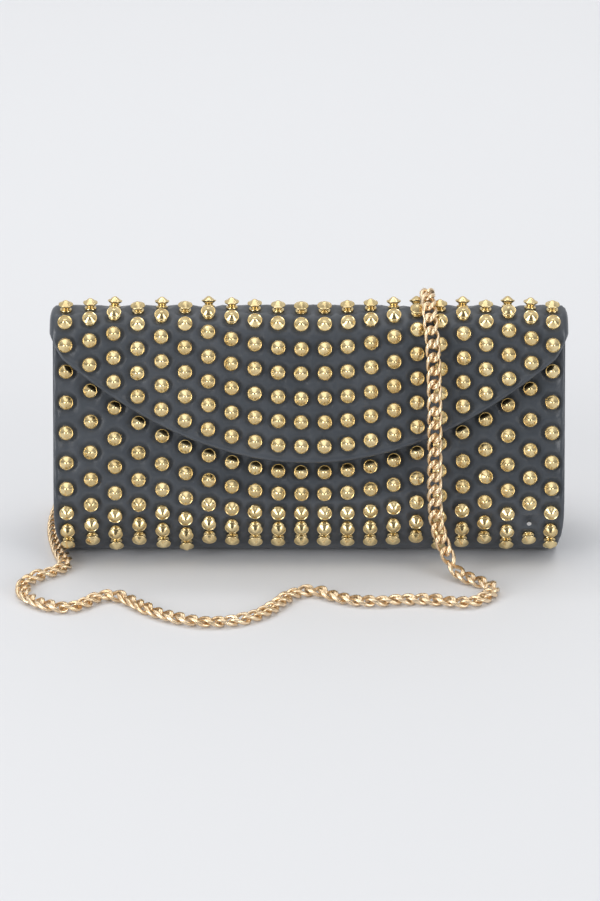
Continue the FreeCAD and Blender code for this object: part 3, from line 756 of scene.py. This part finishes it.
# ---------------------------------------------------------------- linings, gussets, pockets and tabs
# Gusset: lowest and highest point, its fold's depth, where the fold starts and over what height it grows.
GUSSET_LOW, GUSSET_HIGH, FOLD, FOLD_START, FOLD_FADE = 0.0052, 0.096, 0.0052, 0.01, 0.05
GUSSET_INSET, GUSSET_PLAY = 0.0008, 0.0003
# Pocket parts: thickness of a panel and of a card slot, and how far each slot stands before the one behind.
PANEL_THICK, SLOT_THICK, SLOT_STEP = 0.001, 0.0008, 0.0009
# Bar of a ring: distance from the middle plane, height of the wall behind it, and distance off that wall.
BAR_X, BAR_Z, BAR_OUT = 0.118, 0.099, 0.007
# Strap round the bar: inner radius of its loop, half width, rounding of its ends, and thickness.
LOOP_RADIUS, TAB_HALF, TAB_ROUND, TAB_THICK = 0.00118, 0.005, 0.0035, LEATHER - 0.0002


def finish_piece(piece, node_name, body):
    """Puts a piece on the body it rides on and hides the CAD node it stands for."""
    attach(piece, body)
    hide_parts(node_name)


def body_lining():
    """Cloth lining from the mouth at the front, round the base, to the mouth at the back."""
    us = spread(-1.0, 1.0, 0.006 / HALF_BODY)
    side_inset, top_inset = 0.0012, 0.0008
    top = run_at(MOUTH) - top_inset
    table = np.repeat(spread(-top, top, 0.004)[:, None], len(us), 1)
    y, z, ny, nz = whole_front(table, -LEATHER - BOARD - LAYER_GAP)
    points, normals = rolled(us[None, :] * (HALF_BODY - side_inset) * taper(z), y, z, ny, nz)
    edge = borders(points)
    points = soften(points, normals, amount=0.0003, scale=60, keep_floor=False)
    piece = shell("body_lining_cloth", points, normals, CLOTH, edge, LINING_MAT)
    finish_piece(piece, "body_lining", "body")


def flap_lining():
    """Cloth lining of the flap, a little inside its edge."""
    us = spread(-1.0, 1.0, 0.005 / HALF_FLAP)
    inset, hinge_gap = 0.0016, 0.0006
    start = edge_run(us * (HALF_FLAP - inset)) + inset
    end = BACK_SHOULDER + (CREST_Z + CREST_R * math.sin(LEAN) - HINGE_Z - hinge_gap) / math.cos(LEAN)
    share = spread(0.0, 1.0, 0.03, (0, 0.004, 0.012))
    table = start[None, :] + share[:, None] * (end - start)[None, :]
    y, z, ny, nz = wrap_profile(table, -LEATHER - FLAP_BOARD - LAYER_GAP)
    points, normals = rolled(us[None, :] * (HALF_FLAP - inset) * np.ones_like(y), y, z, ny, nz)
    points = points - normals * crest_drop(us, z)
    piece = shell("flap_lining_cloth", points, normals, FLAP_CLOTH, borders(points), LINING_MAT)
    finish_piece(piece, "flap_lining", "flap")


def inner_half(z):
    """Half depth of the inside at height z."""
    low = np.sqrt(np.maximum((BASE_R - INSIDE) ** 2 - (z - BASE_Z) ** 2, 0))
    wall = -wall_y(z, -INSIDE)
    return np.where(z < BASE_Z + (BASE_R - INSIDE) * math.sin(LEAN), low, wall)


def gusset(side, word):
    """Soft end wall with a fold that pulls in between front and back."""
    vs = spread(-1.0, 1.0, 0.05, (0, 0.02, 0.06))
    zs = spread(GUSSET_LOW, GUSSET_HIGH, 0.002)
    v, z = np.meshgrid(vs, zs)
    pull = FOLD * (1 - np.abs(v) ** 1.6) * np.clip((z - FOLD_START) / FOLD_FADE, 0, 1)
    x = side * ((HALF_BODY - GUSSET_INSET) * taper(z) - pull)
    points = np.stack([x, v * (inner_half(z) - GUSSET_PLAY), z], -1)
    normals = np.stack([np.full_like(x, side), np.zeros_like(x), np.zeros_like(x)], -1)
    across = (1 - np.abs(v)) * inner_half(z)
    edge = np.minimum(across, np.minimum(z - zs[0], zs[-1] - z))
    points = soften(points, normals, amount=0.0008, scale=50)
    piece = shell(f"{word}_gusset_leather", points, normals, LEATHER, edge, LEATHER_MAT)
    finish_piece(piece, f"{word}_gusset", "body")


def panel(node_name, corner, right, up, width, height, thick, look, sag=0.0003):
    """A sewn flat piece: rounded rim, a low bead along its edge and a little sag."""
    across, climb = spread(0.0, width, 0.003), spread(0.0, height, 0.0025)
    a, b = np.meshgrid(across, climb)
    out = np.cross(right, up)
    points = np.array(corner) + a[..., None] * np.array(right) + b[..., None] * np.array(up)
    normals = np.ones_like(points) * out
    edge = np.minimum(np.minimum(a, width - a), np.minimum(b, height - b))
    points = points - normals * (sag * np.sin(math.pi * a / width) * np.sin(math.pi * b / height))[..., None]
    bead = 0.00006
    points = beaded(points - normals * bead, normals, edge, width=0.0007, height=bead)
    piece = shell(node_name + "_piece", points, normals, thick, edge, look)
    finish_piece(piece, node_name, "body")


def pockets():
    """Zip pocket walls and tapes, and the card pockets against the back lining."""
    for node_name, look, slot_name in (("pocket_front_wall", INNER_MAT, "leather"),
                                       ("pocket_back_wall", INNER_MAT, "leather"),
                                       ("zip_tape_front", TAPE_MAT, "zip_tape"),
                                       ("zip_tape_back", TAPE_MAT, "zip_tape")):
        low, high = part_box(node_name)
        wide, thick, tall = (high[k] - low[k] for k in range(3))
        panel(node_name, tuple(low), (1, 0, 0), (0, 0, 1), wide, tall, thick, look, sag=0.0)
    lean_up = (0, -math.sin(LEAN), math.cos(LEAN))
    inward = np.array((0, -math.cos(LEAN), -math.sin(LEAN)))
    for node_name, layer, thick in (("card_panel", 0, PANEL_THICK), ("slip_panel", 0, PANEL_THICK),
                                    ("card_slot_1", 1, SLOT_THICK), ("card_slot_2", 2, SLOT_THICK),
                                    ("card_slot_3", 3, SLOT_THICK)):
        low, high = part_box(node_name)
        foot_z = low[2] + thick * math.sin(LEAN)
        tall = (high[2] - foot_z) / math.cos(LEAN)
        foot = np.array((low[0], wall_y(foot_z, -INSIDE, 1), foot_z))
        depth = LAYER_GAP + PANEL_THICK + layer * SLOT_STEP
        panel(node_name, foot + inward * depth, (1, 0, 0), lean_up, high[0] - low[0], tall, thick,
              INNER_MAT)


def ring_tab(side, word):
    """Leather strap sewn to the back that loops round the ring's bar."""
    out, down = Vector((0, math.cos(LEAN), math.sin(LEAN))), Vector((0, math.sin(LEAN), -math.cos(LEAN)))
    bar = Vector((0, wall_y(BAR_Z, 0, 1), BAR_Z)) + out * BAR_OUT
    bend = LOOP_RADIUS + LEATHER
    # Up the back wall, over the bar, and down to the strap again.
    route = [bar - out * 0.0054 + down * t for t in np.linspace(0.0212, 0.0042, 14)]
    for t in np.linspace(0.1, 1, 8):
        route.append(bar - out * (0.0054 - 0.0026 * t * t) + down * (0.0042 - 0.0048 * t))
    for a in np.linspace(0.3, 3.5, 18):
        route.append(bar - out * (bend * math.cos(a)) - down * (bend * math.sin(a)))
    for t in np.linspace(0.15, 1, 8):
        route.append(bar + out * (bend * 0.9 - 0.0045 * t) + down * (0.001 + 0.0050 * t))
    spots = np.array([tuple(p) for p in route])
    way = np.gradient(spots, axis=0)
    way /= np.linalg.norm(way, axis=1)[:, None]
    normals_row = np.stack([np.zeros(len(way)), -way[:, 2], way[:, 1]], -1)
    run = np.concatenate([[0], np.cumsum(np.linalg.norm(np.diff(spots, axis=0), axis=1))])
    us = spread(-1.0, 1.0, 0.2, (0, 0.05, 0.15, 0.3))
    half = TAB_HALF * np.sqrt(np.clip(1 - (1 - np.clip(run / TAB_ROUND, 0.02, 1)) ** 2, 0, 1))
    x = side * BAR_X + us[None, :] * half[:, None]
    points = np.stack([x, np.repeat(spots[:, 1:2], len(us), 1), np.repeat(spots[:, 2:3], len(us), 1)], -1)
    normals = -np.repeat(normals_row[:, None, :], len(us), 1)
    edge = np.minimum((1 - np.abs(us))[None, :] * half[:, None], np.minimum(run, run[-1] - run)[:, None])
    piece = shell(f"{word}_tab_leather", points, normals, TAB_THICK, edge, LEATHER_MAT)
    finish_piece(piece, f"{word}_ring_tab", "body")


body_lining()
flap_lining()
pockets()
for tab_side, tab_word in ((-1, "left"), (1, "right")):
    gusset(tab_side, tab_word)
    ring_tab(tab_side, tab_word)


# ---------------------------------------------------------------- how the chain follows the parts
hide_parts("chain_front")
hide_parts("chain_drape")
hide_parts("chain_back")
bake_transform(chain_front)
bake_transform(chain_back)
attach(chain_drape, "body")
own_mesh(chain_drape)
